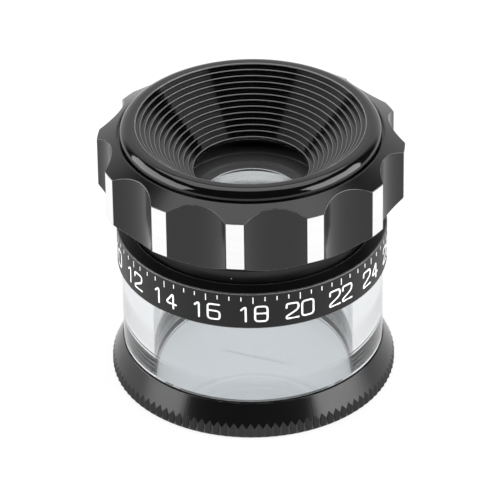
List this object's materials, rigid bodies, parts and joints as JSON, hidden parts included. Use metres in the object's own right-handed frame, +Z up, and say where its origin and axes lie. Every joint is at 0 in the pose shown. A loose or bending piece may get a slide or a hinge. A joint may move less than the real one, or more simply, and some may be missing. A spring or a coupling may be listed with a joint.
{
  "type": "measuring magnifier",
  "caption": "Stand loupe with a clear skirt, a scale glass in a knurled base ring, and a scalloped focus ring with a stepped eyecup over its lenses.",
  "frame": {"origin": "middle of the base ring's underside, where it stands on what is measured", "axes": "+Z up along the optical axis, -Y towards the front, +X to the right"},
  "size_m": [0.0436, 0.0436, 0.0404],
  "materials": {
    "black_anodised": "satin black anodised, turned, with bare machined lands and edges",
    "matt_black": "matt black anodised against stray light",
    "gloss_black": "moulded, glossy",
    "bare_brass": "turned, greased",
    "bare_aluminium": "turned",
    "optical_glass": "polished, coated",
    "clear_acrylic": "polished, clear",
    "cushion_rubber": "matt, grey",
    "engraving_white": "white paint filling engraved figures and ticks"
  },
  "bodies": {
    "body": {"body_barrel": "black_anodised", "helicoid_hub": "bare_brass", "clear_skirt": "clear_acrylic"},
    "lens_stack": {"field_flint": "optical_glass", "field_crown": "optical_glass", "lens_spacer": "bare_aluminium", "eye_crown": "optical_glass", "eye_flint": "optical_glass"},
    "eyepiece": {"focus_ring": "black_anodised", "inner_sleeve": "black_anodised", "eyecup": "gloss_black", "lens_barrel": "matt_black", "lens_retainer": "matt_black", "stop_ring": "bare_aluminium"},
    "scale": {"scale_glass": "optical_glass", "scale_cushion": "cushion_rubber"},
    "base_ring": {"base_ring": "black_anodised"}
  },
  "joints": [
    {"name": "focus_travel", "type": "slide", "parent": "body", "child": "lens_stack", "axis": [0, 0, 1], "range_m": [-0.003, 0.0015]},
    {"name": "focus_turn", "type": "hinge", "parent": "lens_stack", "child": "eyepiece", "pos_m": [0, 0, 0.0265], "axis": [0, 0, 1], "range_deg": [-240, 120]},
    {"name": "scale_drop", "type": "slide", "parent": "body", "child": "scale", "axis": [0, 0, -1], "range_m": [0, 0.00225]},
    {"name": "base_ring_turn", "type": "hinge", "parent": "scale", "child": "base_ring", "pos_m": [0, 0, 0.0025], "axis": [0, 0, -1], "range_deg": [0, 1080]}
  ],
  "couplings": [
    {"joint": "focus_travel", "follows": "focus_turn", "m_per_rad": 0.00071619},
    {"joint": "scale_drop", "follows": "base_ring_turn", "m_per_rad": 0.00011936}
  ]
}
